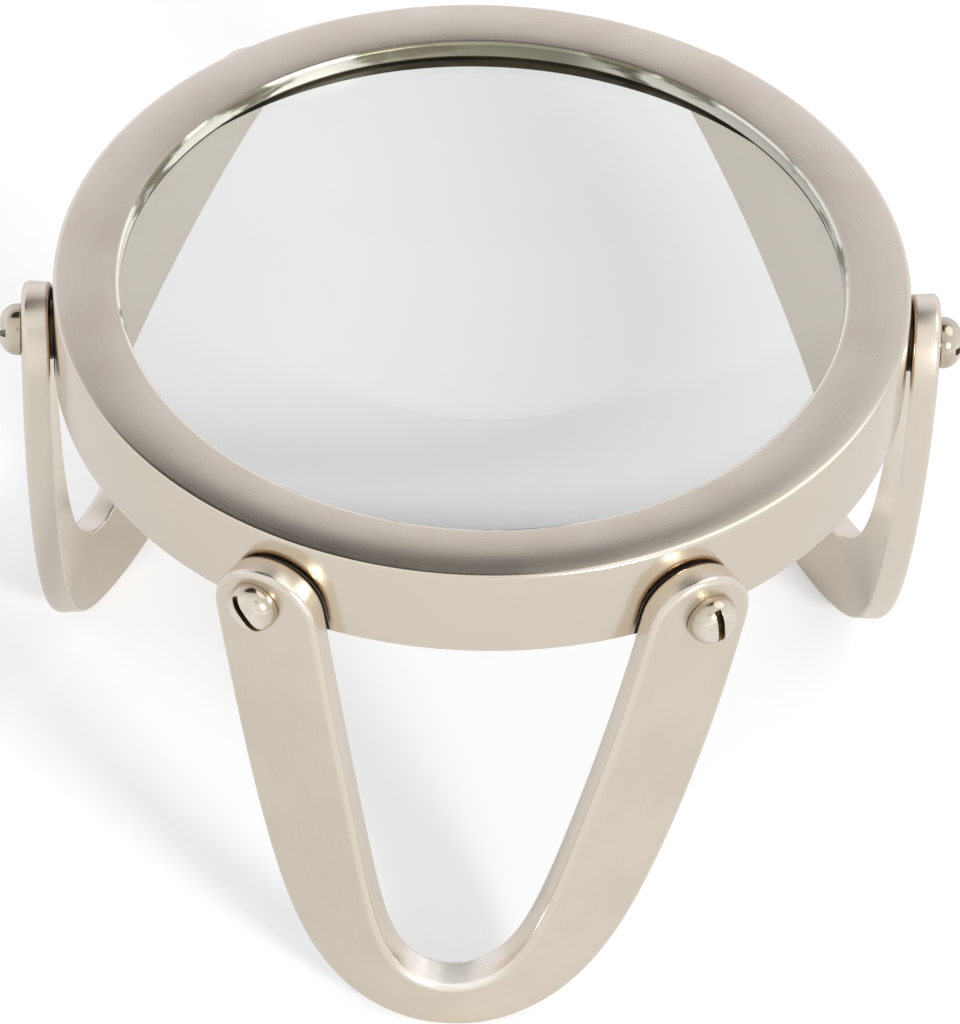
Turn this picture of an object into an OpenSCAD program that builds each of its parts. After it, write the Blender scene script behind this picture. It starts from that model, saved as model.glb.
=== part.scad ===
// Desk magnifying glass. A turned ring holds a large double-convex lens level
// above the page, on three V-shaped legs bent from flat bar and screwed to the
// ring's side. Sizes are in millimetres, +Z is up, and the feet stand on z = 0.

/* [Ring] */
// Outside diameter of the ring
ring_d = 130; // [124:1:136]
// Height of the ring's side band
band_h = 15.9; // [15:0.1:18]
// Width of the top face, from the viewing opening to the outside
face_w = 10; // [9:0.5:12]
// Thickness of the side wall below the top face
wall_t = 4.8; // [4.6:0.1:5.4]
// Thickness of the lip that the lens lies against
lip_t = 3.2; // [2.4:0.1:3.6]
// How much the top face is crowned, edge to middle
crown = 0.5; // [0.2:0.1:0.8]
// How far inside the middle of the top face its highest line lies
crown_shift = 1; // [0:0.1:2]
// Bevel that breaks the ring's edges
edge_bevel = 0.4; // [0.2:0.1:0.6]

/* [Lens] */
// Radius of both curved surfaces of the lens
lens_curve = 350; // [280:5:450]
// Thickness of the glass at its ground rim
lens_rim_t = 2; // [1.6:0.1:2.6]
// Gap all round between the lens and the ring
lens_clear = 0.2; // [0.1:0.05:0.3]

/* [Snap ring under the lens] */
// Thickness of the flat snap ring
clip_t = 1.1; // [0.9:0.1:1.2]
// Width of the snap ring, inside edge to outside edge
clip_w = 2.6; // [2.2:0.1:3]
// How deep the snap ring's groove is cut in the wall
groove_d = 0.8; // [0.6:0.1:1]
// Opening between the ends of the snap ring, in degrees
clip_open = 24; // [12:1:60]

/* [Legs] */
// Angle round the ring from the front leg to each rear leg
rear_turn = 118.7; // [116:0.1:122]
// Height of the ring's top edge above the desk
total_h = 93; // [84:1:102]
// Thickness of the flat bar
leg_t = 4.2; // [3.6:0.1:4.6]
// Space between the ring and the legs
leg_gap = 0.7; // [0.6:0.1:1.2]
// Width of the bar at its two rounded upper ends
pad_w = 17; // [15:0.5:18]
// Width of the bar at the foot
foot_w = 12; // [9:0.5:14]
// Top edge of the rounded ends, below the top of the ring
pad_drop = 4.2; // [3.8:0.1:5]
// Angle round the ring from the front leg's middle to each of its ends
pad_az = 27.7; // [26:0.1:29]
// The same angle of the two rear legs
rear_pad_az = 28.5; // [26:0.1:29]
// How much lower on the ring the rear legs' ends and screws sit
rear_drop = 0.8; // [0:0.1:1.2]
// Half the spread that the two limbs would still have at the foot
knee_half = 14.8; // [12:0.1:17]
// How hard the bar turns at the foot, higher is tighter
knee_turn = 11.8; // [9:0.1:15]
// How far each foot is set in towards the middle
leg_lean = 1.4; // [0:0.1:3]
// How far the bar twists over at the foot, its upper edge going outwards, in degrees
foot_tilt = 14.5; // [0:0.5:20]
// How much the bar thickens along the inside of its bend
knee_swell = 0.9; // [0:0.1:1.2]
// How far the front foot is set to the left, from bending by hand
front_set = 3.7; // [0:0.1:5]
// How far the left leg's foot is set to the front, from bending by hand
left_set = 1.2; // [0:0.1:3]
// Rounding of the edges on the outer side of the bar
outer_round = 1; // [0.4:0.1:1.2]
// Bevel of the edges on the inner side of the bar
inner_bevel = 0.4; // [0.2:0.1:0.6]
// What is ground off each foot so that it stands flat
foot_grind = 0.55; // [0.3:0.05:0.8]

/* [Screws and washers] */
// Thread diameter of the six screws
screw_d = 4; // [3.5:0.5:4]
// Diameter of the screw heads
head_d = 7.9; // [7:0.1:8.4]
// Height of the screw heads
head_h = 3.4; // [2.8:0.1:3.6]
// Width of the driver slot
slot_w = 1.1; // [0.8:0.1:1.4]
// Depth of the driver slot
slot_h = 1.1; // [0.9:0.1:1.4]
// Screw axis below the top of the ring
screw_drop = 10.3; // [10:0.1:11]
// How much lower the front leg's right screw was set by hand
low_screw = 1.2; // [0:0.1:1.4]
// How far a screw sits outside the middle of its leg's end, as an angle round the ring
screw_lead = 1; // [0.5:0.1:1.5]
// Depth of the threaded holes in the ring's wall
tap_depth = 4; // [3.4:0.1:4.2]
// Outside diameter of the spacer washers
washer_d = 9; // [8:0.1:9.5]
// Extra radius of the plain holes in legs and washers
hole_clear = 0.2; // [0.15:0.05:0.3]

/* [Hidden] */
$fn = 96;
ring_r = ring_d / 2;
view_r = ring_r - face_w;
bore_r = ring_r - wall_t;
band_z = total_h - band_h;
seat_z = total_h - lip_t;
crown_mid = ring_r - face_w / 2 - crown_shift;
crown_r = (face_w * face_w / 4 + crown * crown) / (2 * crown);

// Fits between mating parts
seat_clear = 0.05;
thread_clear = 0.04;
face_clear = 0.04;
groove_clear = 0.1;
tip_clear = 0.3;
// How far a cut runs past what it cuts
over = 1;

// The lens touches the lip along the edge of the viewing opening
lens_r = bore_r - lens_clear;
lens_fn = 720;
ring_fn = 240;
crown_fn = 480;
top_centre_z = seat_z - seat_clear - sqrt(lens_curve * lens_curve - view_r * view_r);
rim_rise = sqrt(lens_curve * lens_curve - lens_r * lens_r);
rim_top_z = top_centre_z + rim_rise;
rim_low_z = rim_top_z - lens_rim_t;
low_centre_z = rim_low_z + rim_rise;
lens_bulge = lens_curve - rim_rise;

// The snap ring bears on the lower face of the lens with its inner edge
clip_out_r = bore_r + groove_d - groove_clear;
clip_in_r = clip_out_r - clip_w;
clip_top_z = low_centre_z - seat_clear - sqrt(lens_curve * lens_curve - clip_in_r * clip_in_r);

// Legs: radii of the bar's two faces at the ring
leg_in_r = ring_r + leg_gap;
leg_out_r = leg_in_r + leg_t;
leg_mid_r = leg_in_r + leg_t / 2;
pad_r = pad_w / 2;
pad_z = total_h - pad_drop - pad_r;
// Share of the rounding that its middle facet cuts off the corner
corner_cut = 0.3;
foot_mid_z = foot_w / 2 * cos(foot_tilt)
    + (leg_t / 2 - corner_cut * outer_round) * sin(foot_tilt) - foot_grind;
// Shape of the bent bar: how much the limbs bow, how near the foot the bar narrows,
// leans in, twists, thickens and goes sideways (higher is nearer), and how far round
// each end its corners begin
bow = 0.21;
narrow_pow = 4.2;
lean_pow = 4;
tilt_pow = 1.2;
swell_pow = 6;
skew_pow = 1.4;
end_sweep = 82;
// Stations along a limb and round an end, columns across a face, and the step in
// the parameter over which the bar's direction is taken
limb_steps = 22;
end_steps = 7;
face_cols = 4;
slope_step = 0.004;

// Screws and washers
screw_r = screw_d / 2;
screw_z = total_h - screw_drop;
head_r = head_d / 2;
head_rim = 0.5;
head_edge = head_h - head_rim;
head_crown_r = 3 * head_r;
tip_r = ring_r - tap_depth + tip_clear;
washer_t = leg_gap - washer_d * washer_d / (8 * leg_in_r) - face_clear;

// What differs between the legs, in the order front, right, left
leg_turns = [0, rear_turn, -rear_turn];
leg_pads = [pad_az, rear_pad_az, rear_pad_az];
leg_sets = [-front_set, 0, left_set];
leg_drops = [0, rear_drop, rear_drop];
right_drops = [low_screw, 0, 0];

// The ring is centred on the feet by moving everything back by the same amount
front_reach = max([for (p = leg_points(0)) -p[1]]);
shift_y = (front_reach - ring_r) / 2;

// Length along the bar's outer face, measured round the ring, of an angle
function arc(deg) = deg * PI / 180 * leg_out_r;
function mix(a, b, t) = a + (b - a) * t;

// The middle line of leg n. The parameter t runs from -1 at the left end over 0 at
// the foot to 1 at the right end; fall goes from 0 at the ends to 1 at the foot.
function fall(t) = sin(90 * (1 - min(abs(t), 1)));
function spread(k, n) =
    mix(arc(leg_pads[n]), knee_half, k - bow * k * (1 - k)) * sqrt(1 - pow(k, knee_turn));
function mid_line(t, n) =
    let (k = fall(t))
    [sign(t) * spread(k, n) + leg_sets[n] * pow(k, skew_pow), mix(pad_z - leg_drops[n], foot_mid_z, k)];
function unit(v) = v / norm(v);
function heading(t, n) =
    unit(mid_line(min(t + slope_step, 1), n) - mid_line(max(t - slope_step, -1), n));
function bar_half(t) = mix(pad_r, foot_w / 2, pow(fall(t), narrow_pow));

// Stations along the bar: the rounded left end, the two limbs, the rounded right
// end. Each is [t, angle of the round end, -1 or 1 for which end].
function stations() = concat(
    [for (i = [0:end_steps - 1]) [-1, end_sweep * cos(90 * i / end_steps), -1]],
    [for (i = [-limb_steps:limb_steps]) [i / limb_steps, 0, 0]],
    [for (i = [end_steps - 1:-1:0]) [1, end_sweep * cos(90 * i / end_steps), 1]]);

// The bar's section, as [how far in from the bar's side, side, height above the
// inner face, where across the face from -1 to 1].
function section() = concat(
    [for (i = [0:face_cols]) [inner_bevel, 2 * i / face_cols - 1, 0]],
    [[0, 1, inner_bevel], [0, 1, leg_t - outer_round]],
    [[corner_cut * outer_round, 1, leg_t - corner_cut * outer_round]],
    [for (i = [0:face_cols]) [outer_round, 1 - 2 * i / face_cols, leg_t]],
    [[corner_cut * outer_round, -1, leg_t - corner_cut * outer_round]],
    [[0, -1, leg_t - outer_round], [0, -1, inner_bevel]]);

// One point of the bar, bent round the ring's axis, leaning in and twisted at the foot
function lean(z) = leg_lean * pow(max(0, (band_z - z) / band_z), lean_pow);
function on_ring(a, z, r) =
    let (az = 270 + a / leg_out_r * 180 / PI)
    [r * cos(az), r * sin(az), z];
function bar_point(s, c, n) =
    let (k = fall(s[0]), mid = mid_line(s[0], n), d = heading(s[0], n))
    let (half = bar_half(s[0]) - c[0], tilt = foot_tilt * pow(k, tilt_pow))
    let (swell = 1 + knee_swell / leg_t * pow(k, swell_pow) * (1 - c[1]) / 2)
    let (across = half * cos(s[1]) * c[1], up = (c[2] - leg_t / 2) * swell)
    let (p = mid + d * s[2] * half * sin(s[1]))
    let (q = p + [d[1], -d[0]] * (across * cos(tilt) + up * sin(tilt)))
    on_ring(q[0], q[1], leg_mid_r - lean(mid[1]) + up * cos(tilt) - across * sin(tilt));

// Triangles between the stations, then a fan about a middle point at each end
ring_n = len(section());
station_n = len(stations());
last = (station_n - 1) * ring_n;
function leg_points(n) =
    let (all = stations())
    let (ends = [all[0], all[len(all) - 1]])
    concat([for (s = all) for (c = section()) bar_point(s, c, n)],
        [for (s = ends) bar_point(s, [0, 0, leg_t / 2], n)]);
function side_faces() = [for (i = [0:station_n - 2]) for (j = [0:ring_n - 1])
    let (a = i * ring_n + j, b = i * ring_n + (j + 1) % ring_n)
    each [[a, a + ring_n, b], [b, a + ring_n, b + ring_n]]];
function end_faces(first, middle) = [for (j = [0:ring_n - 1])
    [first + j, first + (j + 1) % ring_n, middle]];
function turned(fs) = [for (f = fs) [f[2], f[1], f[0]]];
function leg_faces() = concat(side_faces(), end_faces(0, station_n * ring_n),
    turned(end_faces(last, station_n * ring_n + 1)));

module placed() translate([0, shift_y, 0]) children();

// The place of a screw of leg n, with side -1 or 1. Its +Z points out along the
// screw's axis, and its origin lies on the ring's axis.
module at_screw(n, side) rotate([0, 0, 270 + leg_turns[n] + side * (leg_pads[n] + screw_lead)])
    translate([0, 0, screw_z - leg_drops[n] - (side > 0 ? right_drops[n] : 0)])
        rotate([0, 90, 0]) children();

// What a bevel takes off the profile's corner at [r, z]; out and up say which way the
// corner points
module corner_bevel(r, z, out, up) {
    reach = edge_bevel + over;
    polygon([[r + out * over, z + up * over], [r + out * over, z - up * reach],
        [r - out * reach, z + up * over]]);
}

// Height of the crowned top face at radius r
function face_z(r) = total_h - crown_r + sqrt(crown_r * crown_r - (r - crown_mid) * (r - crown_mid));

module ring_profile() {
    difference() {
        intersection() {
            translate([view_r, band_z]) square([face_w, band_h]);
            translate([crown_mid, total_h - crown_r]) circle(crown_r, $fn = crown_fn);
        }
        translate([view_r - over, band_z - over])
            square([bore_r - view_r + over, seat_z - band_z + over]);
        translate([bore_r - over, clip_top_z - clip_t - groove_clear])
            square([groove_d + over, clip_t + 2 * groove_clear]);
        corner_bevel(ring_r, face_z(ring_r), 1, 1);
        corner_bevel(view_r, face_z(view_r), -1, 1);
        corner_bevel(ring_r, band_z, 1, -1);
        corner_bevel(bore_r, band_z, -1, -1);
    }
}

module frame_ring() color([0.74, 0.70, 0.66]) placed() difference() {
    rotate_extrude($fn = ring_fn) ring_profile();
    for (n = [0:2]) for (side = [-1, 1]) at_screw(n, side)
        translate([0, 0, ring_r - tap_depth]) cylinder(r = screw_r + thread_clear, h = tap_depth + over);
}

module lens() color([0.86, 0.92, 0.94, 0.4]) placed() rotate_extrude($fn = ring_fn) intersection() {
    translate([0, top_centre_z]) circle(lens_curve, $fn = lens_fn);
    translate([0, low_centre_z]) circle(lens_curve, $fn = lens_fn);
    translate([0, rim_low_z - lens_bulge - over])
        square([lens_r, lens_rim_t + 2 * (lens_bulge + over)]);
}

module lens_snap_ring() color([0.45, 0.44, 0.43]) placed() rotate([0, 0, 90 + clip_open / 2])
    rotate_extrude(angle = 360 - clip_open, $fn = ring_fn)
        translate([clip_in_r, clip_top_z - clip_t]) square([clip_w, clip_t]);

module leg(n) placed() difference() {
    rotate([0, 0, leg_turns[n]]) polyhedron(points = leg_points(n), faces = leg_faces(), convexity = 8);
    for (side = [-1, 1]) at_screw(n, side)
        translate([0, 0, ring_r]) cylinder(r = screw_r + hole_clear, h = 2 * leg_t + leg_gap);
    translate([0, 0, -foot_w / 2]) cube([4 * ring_r, 4 * ring_r, foot_w], center = true);
}

module front_leg() color([0.82, 0.78, 0.72]) leg(0);
module right_leg() color([0.82, 0.78, 0.72]) leg(1);
module left_leg() color([0.82, 0.78, 0.72]) leg(2);

module head_profile() {
    intersection() {
        union() {
            square([head_r - head_edge, head_h]);
            square([head_r, head_h - head_edge]);
            translate([head_r - head_edge, head_h - head_edge]) circle(head_edge);
        }
        translate([0, head_h - head_crown_r]) circle(head_crown_r, $fn = ring_fn);
        square([head_r, head_h]);
    }
}

// A slotted screw whose head bears on the leg. The slot stops at its own angle.
module screw(n, side, slot_turn) placed() at_screw(n, side) difference() {
    union() {
        translate([0, 0, leg_out_r]) rotate_extrude() head_profile();
        translate([0, 0, tip_r]) cylinder(r = screw_r, h = leg_out_r - tip_r + over / 2);
    }
    rotate([0, 0, slot_turn]) translate([0, 0, leg_out_r + head_h - slot_h / 2 + over / 2])
        cube([head_d + 2 * over, slot_w, slot_h + over], center = true);
}

module front_leg_screw_left() color([0.80, 0.76, 0.70]) screw(0, -1, 40);
module front_leg_screw_right() color([0.80, 0.76, 0.70]) screw(0, 1, 5);
module right_leg_screw_front() color([0.80, 0.76, 0.70]) screw(1, -1, 75);
module right_leg_screw_back() color([0.80, 0.76, 0.70]) screw(1, 1, 20);
module left_leg_screw_front() color([0.80, 0.76, 0.70]) screw(2, 1, -60);
module left_leg_screw_back() color([0.80, 0.76, 0.70]) screw(2, -1, 110);

// A spacer washer between the ring's side and the hollow face of a leg
module washer(n, side) placed() at_screw(n, side) translate([0, 0, ring_r]) difference() {
    cylinder(d = washer_d, h = washer_t);
    translate([0, 0, -over]) cylinder(r = screw_r + hole_clear, h = washer_t + 2 * over);
}

module front_leg_washer_left() color([0.55, 0.52, 0.48]) washer(0, -1);
module front_leg_washer_right() color([0.55, 0.52, 0.48]) washer(0, 1);
module right_leg_washer_front() color([0.55, 0.52, 0.48]) washer(1, -1);
module right_leg_washer_back() color([0.55, 0.52, 0.48]) washer(1, 1);
module left_leg_washer_front() color([0.55, 0.52, 0.48]) washer(2, 1);
module left_leg_washer_back() color([0.55, 0.52, 0.48]) washer(2, -1);

frame_ring();
lens();
lens_snap_ring();
front_leg();
right_leg();
left_leg();
front_leg_screw_left();
front_leg_screw_right();
right_leg_screw_front();
right_leg_screw_back();
left_leg_screw_front();
left_leg_screw_back();
front_leg_washer_left();
front_leg_washer_right();
right_leg_washer_front();
right_leg_washer_back();
left_leg_washer_front();
left_leg_washer_back();
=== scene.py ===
"""Looks of a desk magnifying glass: a turned ring of satin nickel that holds a large
double-convex lens, on three V-shaped legs bent from flat bar and screwed to its side.

Lengths are in metres. The ring's axis is vertical, and the feet stand on z = 0.
"""

import enum
import logging
import math
from dataclasses import dataclass, field, replace
from typing import Any, Union

import bpy
import numpy as np
from mathutils import Matrix, Vector


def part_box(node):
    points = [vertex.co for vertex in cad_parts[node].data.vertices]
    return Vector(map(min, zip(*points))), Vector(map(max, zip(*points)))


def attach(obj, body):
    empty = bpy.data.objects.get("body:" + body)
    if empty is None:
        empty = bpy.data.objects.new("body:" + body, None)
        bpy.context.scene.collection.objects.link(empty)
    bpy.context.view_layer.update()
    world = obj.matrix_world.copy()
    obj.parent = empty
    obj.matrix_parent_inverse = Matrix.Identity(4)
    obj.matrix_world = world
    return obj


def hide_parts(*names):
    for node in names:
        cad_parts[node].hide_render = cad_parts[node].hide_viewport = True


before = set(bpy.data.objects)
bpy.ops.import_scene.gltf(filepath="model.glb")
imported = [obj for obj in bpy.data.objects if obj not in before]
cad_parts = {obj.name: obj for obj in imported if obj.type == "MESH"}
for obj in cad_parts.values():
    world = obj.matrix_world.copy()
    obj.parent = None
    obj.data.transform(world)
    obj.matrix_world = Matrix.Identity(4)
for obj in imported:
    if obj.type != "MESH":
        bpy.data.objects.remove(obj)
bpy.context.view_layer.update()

MM = 0.001
BODY = "root"

Triple = tuple[float, float, float]
Colour = Triple
Pair = tuple[float, float]
Array = np.ndarray

log = logging.getLogger("magnifier")


def rgba(colour: Colour) -> tuple[float, float, float, float]:
    """Adds a full alpha to a colour."""
    return (*colour, 1.0)


def ring_axis_y() -> float:
    """Gives the y of the ring's upright axis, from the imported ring's own box."""
    low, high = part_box("frame_ring")
    return (low.y + high.y) / 2


class Value:
    """A number socket that takes part in shader maths written as Python expressions."""

    def __init__(self, graph: "Graph", socket: bpy.types.NodeSocket) -> None:
        """Wraps a socket.

        Args:
            graph: the node graph that the socket is in.
            socket: an output socket that carries a number.
        """
        self.graph = graph
        self.socket = socket

    def __add__(self, other: "Number") -> "Value":
        """Adds."""
        return self.graph.maths("ADD", self, other)

    __radd__ = __add__

    def __mul__(self, other: "Number") -> "Value":
        """Multiplies."""
        return self.graph.maths("MULTIPLY", self, other)

    __rmul__ = __mul__

    def __sub__(self, other: "Number") -> "Value":
        """Subtracts other from this."""
        return self.graph.maths("SUBTRACT", self, other)

    def __rsub__(self, other: "Number") -> "Value":
        """Subtracts this from other."""
        return self.graph.maths("SUBTRACT", other, self)

    def __truediv__(self, other: "Number") -> "Value":
        """Divides this by other."""
        return self.graph.maths("DIVIDE", self, other)

    def __rtruediv__(self, other: "Number") -> "Value":
        """Divides other by this."""
        return self.graph.maths("DIVIDE", other, self)

    def root(self) -> "Value":
        """Takes the square root."""
        return self.graph.maths("SQRT", self)

    def rise(self, low: float, high: float) -> "Value":
        """Rises smoothly from 0 where this is at low to 1 where it is at high.

        Args:
            low: the value at which the result is 0.
            high: the value at which the result is 1. It may be under low.

        Returns:
            The smooth step.
        """
        node = self.graph.add(
            "MapRange",
            {"interpolation_type": "SMOOTHSTEP"},
            {"Value": self, "From Min": low, "From Max": high},
        )
        return Value(self.graph, node.outputs["Result"])


Number = Union[Value, float, int]


class Graph:
    """A shader node tree that is filled by Python expressions."""

    def __init__(self, tree: bpy.types.NodeTree) -> None:
        """Empties the tree and keeps it.

        Args:
            tree: the node tree of a material, a world or a lamp.
        """
        tree.nodes.clear()
        self.tree = tree

    def add(
        self,
        kind: str,
        settings: dict[str, Any] | None = None,
        sockets: dict[Union[int, str], Any] | None = None,
    ) -> bpy.types.Node:
        """Adds one node of any type.

        Args:
            kind: the node's type without its "ShaderNode" prefix.
            settings: the node's own properties, set before its sockets.
            sockets: values, sockets or Values for its inputs, by identifier, name or number.

        Returns:
            The new node.
        """
        node = self.tree.nodes.new("ShaderNode" + kind)
        for name, setting in (settings or {}).items():
            setattr(node, name, setting)
        by_identifier = {socket.identifier: socket for socket in node.inputs}
        for key, value in (sockets or {}).items():
            socket = by_identifier.get(key) or node.inputs[key]
            source = value.socket if isinstance(value, Value) else value
            if isinstance(source, bpy.types.NodeSocket):
                self.tree.links.new(source, socket)
            else:
                socket.default_value = source
        return node

    def maths(self, operation: str, *numbers: Number) -> Value:
        """Adds one Math node.

        Args:
            operation: the node's operation.
            numbers: its inputs, in order.

        Returns:
            The result.
        """
        node = self.add("Math", {"operation": operation}, dict(enumerate(numbers)))
        return Value(self, node.outputs[0])

    def larger(self, first: Number, second: Number) -> Value:
        """Gives the larger of two numbers."""
        return self.maths("MAXIMUM", first, second)

    def blend(self, share: Number, first: Any, second: Any) -> bpy.types.NodeSocket:
        """Mixes two colours.

        Args:
            share: how much of the second colour there is, from 0 to 1.
            first: the colour at 0, as red, green and blue or as a socket.
            second: the colour at 1.

        Returns:
            The mixed colour's socket.
        """
        ends = [rgba(c) if isinstance(c, tuple) else c for c in (first, second)]
        node = self.add(
            "Mix",
            {"data_type": "RGBA"},
            {"Factor_Float": share, "A_Color": ends[0], "B_Color": ends[1]},
        )
        return node.outputs[2]

    def noise(self, at: Any, detail: float = 2.0, rough: float = 0.5, w: Number | None = None) -> Value:
        """Adds smooth noise between 0 and 1, with features about 1 unit wide.

        Args:
            at: the vector socket that it is read at.
            detail: how many finer layers it has.
            rough: how strong the finer layers are.
            w: the fourth coordinate, if there is one.

        Returns:
            The noise.
        """
        sockets = {"Vector": at, "Scale": 1.0, "Detail": detail, "Roughness": rough}
        if w is not None:
            sockets["W"] = w
        dimensions = "3D" if w is None else "4D"
        node = self.add("TexNoise", {"noise_dimensions": dimensions}, sockets)
        return Value(self, node.outputs["Fac"])

    def vector(self, x: Number, y: Number, z: Number) -> bpy.types.NodeSocket:
        """Joins three numbers into a vector."""
        return self.add("CombineXYZ", None, {0: x, 1: y, 2: z}).outputs[0]

    def parts(self, vector: bpy.types.NodeSocket) -> tuple[Value, Value, Value]:
        """Splits a vector into its three numbers."""
        node = self.add("SeparateXYZ", None, {0: vector})
        return tuple(Value(self, output) for output in node.outputs)

    def place(self) -> tuple[Value, Value, Value, Value]:
        """Finds the point in the ring's own frame.

        Returns:
            Its x, y and z from the ring's axis and the desk, and its distance from the axis.
        """
        node = self.add("TexCoord")
        x, y, z = self.parts(node.outputs["Object"])
        y = y - ring_axis_y()
        return x, y, z, (x * x + y * y).root()

    def attribute(self, name: str) -> Value:
        """Reads a number that is kept at the piece's own points."""
        node = self.add("Attribute", {"attribute_name": name})
        return Value(self, node.outputs["Fac"])

    def finish(self, surface: bpy.types.NodeSocket, output: str = "OutputMaterial") -> None:
        """Joins a shader to the tree's output."""
        self.add(output, None, {"Surface": surface})


def toward(way: tuple[Value, Value, Value], aim: Triple) -> Value:
    """Gives how far a direction goes towards aim, as the dot product of the two."""
    side, back, up = (part * share for part, share in zip(way, aim))
    return side + back + up


def new_material(name: str) -> tuple[bpy.types.Material, Graph]:
    """Makes an empty node material.

    Args:
        name: the material's name.

    Returns:
        The material and its graph.
    """
    material = bpy.data.materials.new(name)
    material.use_nodes = True
    return material, Graph(material.node_tree)


class Brush(enum.Enum):
    """Which way a finish was brushed."""

    AROUND = "around the ring's axis"
    ALONG = "along the bar"
    TURNED = "around the screw's own axis"
    GRAIN = "no one way"


@dataclass(frozen=True)
class Pad:
    """Where a leg's rounded end lies on the ring."""

    bearing: float
    height: float
    side: int


@dataclass
class Coat:
    """What a finish's zones may change: its colour, its roughness and how metallic it is."""

    colour: bpy.types.NodeSocket
    roughness: Value
    metallic: Number = 1.0


@dataclass(frozen=True)
class Nickel:
    """Nickel plate over brushed metal, with fine lines, faint clouds, and edges tinted with wear and
    painted light.
    """

    name: str
    brush: Brush
    tone: Colour = (0.735, 0.67, 0.575)
    shade: Colour = (0.68, 0.61, 0.51)
    line_share: float = 0.55
    tarnish_range: Pair = (0.25, 0.85)
    # Paler at broken edges on the ring and legs: partly wear, partly painted highlight.
    edge_tone: Colour = (0.82, 0.74, 0.63)
    edge_share: float = 0.8
    roughness: float = 0.26
    spread: float = 0.07
    cloud_roughness: float = 0.03
    edge_roughness: float = 0.16
    pitch: float = 0.18 * MM
    streak: float = 36 * MM
    layers: float = 1.5
    layer_strength: float = 0.6
    relief: float = 0.015
    depth: float = 0.03 * MM
    cloud: float = 14 * MM
    cloud_layers: float = 3
    cloud_strength: float = 0.55
    cloud_range: Pair = (0.3, 0.7)

    def lines(self, graph: Graph) -> Value:
        """Gives the brush lines, as noise that is short across them and long along them.

        Args:
            graph: the material's graph.

        Returns:
            The lines, from 0 to 1.
        """
        x, y, z, r = graph.place()
        fine, long = 1 / self.pitch, 1 / self.streak
        if self.brush is Brush.AROUND:
            at = graph.vector(x * long, y * long, z * fine)
            return graph.noise(at, self.layers, self.layer_strength, r * fine)
        if self.brush is Brush.GRAIN:
            at = graph.vector(x * fine, y * fine, z * fine)
            return graph.noise(at, self.layers, self.layer_strength)
        node = graph.add("UVMap", {"uv_map": "brush"})
        u, v, _ = graph.parts(node.outputs["UV"])
        at = graph.vector(u * long, v * fine, 0.0)
        return graph.noise(at, self.layers, self.layer_strength)

    def clouds(self, graph: Graph) -> Value:
        """Gives faint large clouds in the plate.

        Args:
            graph: the material's graph.

        Returns:
            The clouds, from 0 to 1.
        """
        x, y, z, _ = graph.place()
        wide = 1 / self.cloud
        at = graph.vector(x * wide, y * wide, z * wide)
        return graph.noise(at, self.cloud_layers, self.cloud_strength).rise(*self.cloud_range)

    def dress(self, graph: Graph, coat: Coat) -> Coat:
        """Leaves the coat as it is. A finish with zones changes it here.

        Args:
            graph: the material's graph.
            coat: the coat so far.

        Returns:
            The coat.
        """
        return coat

    def material(self) -> bpy.types.Material:
        """Builds the material.

        Returns:
            The material, with colour, roughness and normal that vary over the surface.
        """
        material, graph = new_material(self.name)
        lines, clouds = self.lines(graph), self.clouds(graph)
        edge = graph.attribute("edge")
        tarnish = lines * self.line_share + clouds * (1 - self.line_share)
        colour = graph.blend(tarnish.rise(*self.tarnish_range), self.tone, self.shade)
        # The edge tone is partly wear and partly painted highlight on the ring and legs, and painted
        # shade at the screw heads' rims.
        colour = graph.blend(edge * self.edge_share, colour, self.edge_tone)
        roughness = self.roughness + self.spread * (lines - 0.5) + self.cloud_roughness * clouds
        roughness = roughness - edge * (self.roughness - self.edge_roughness)
        coat = self.dress(graph, Coat(colour, roughness))
        bump = graph.add(
            "Bump",
            None,
            {"Strength": self.relief, "Distance": self.depth, "Height": lines},
        )
        shader = graph.add(
            "BsdfPrincipled",
            None,
            {
                "Base Color": coat.colour,
                "Metallic": coat.metallic,
                "Roughness": coat.roughness,
                "Normal": bump.outputs[0],
            },
        )
        graph.finish(shader.outputs[0])
        return material


def behind_limbs(
    graph: Graph,
    pads: tuple[Pad, ...],
    reach: float,
    slant: float = 11.4,
    soft: float = 0.25 * MM,
    facing_soft: float = 10 * MM,
) -> Number:
    """Finds the points that lie behind or in the legs' limbs, away from their sides.

    A limb covers the points that lie within reach of the line that runs from the pad's
    middle down the limb, on the pad's own side of the ring's axis.

    Args:
        graph: the material's graph.
        pads: the legs' rounded ends.
        reach: half of the covered width.
        slant: the limbs' angle from upright, in degrees.
        soft: how wide the cover's edge is.
        facing_soft: how wide its edge is at the ring's axis.

    Returns:
        1 there and 0 elsewhere.
    """
    x, y, z, _ = graph.place()
    mask: Number = 0.0
    for pad in pads:
        bearing = math.radians(270 + pad.bearing)
        c, s = math.cos(bearing), math.sin(bearing)
        aside, facing = y * c - x * s, x * c + y * s
        up = z - pad.height
        lean = math.radians(slant) * pad.side
        across = aside * math.cos(lean) - up * math.sin(lean)
        over = graph.larger(aside * math.sin(lean) + up * math.cos(lean), 0.0)
        near = (across * across + over * over).root().rise(reach + soft, reach)
        mask = graph.larger(mask, near * facing.rise(0.0, facing_soft))
    return mask


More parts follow.
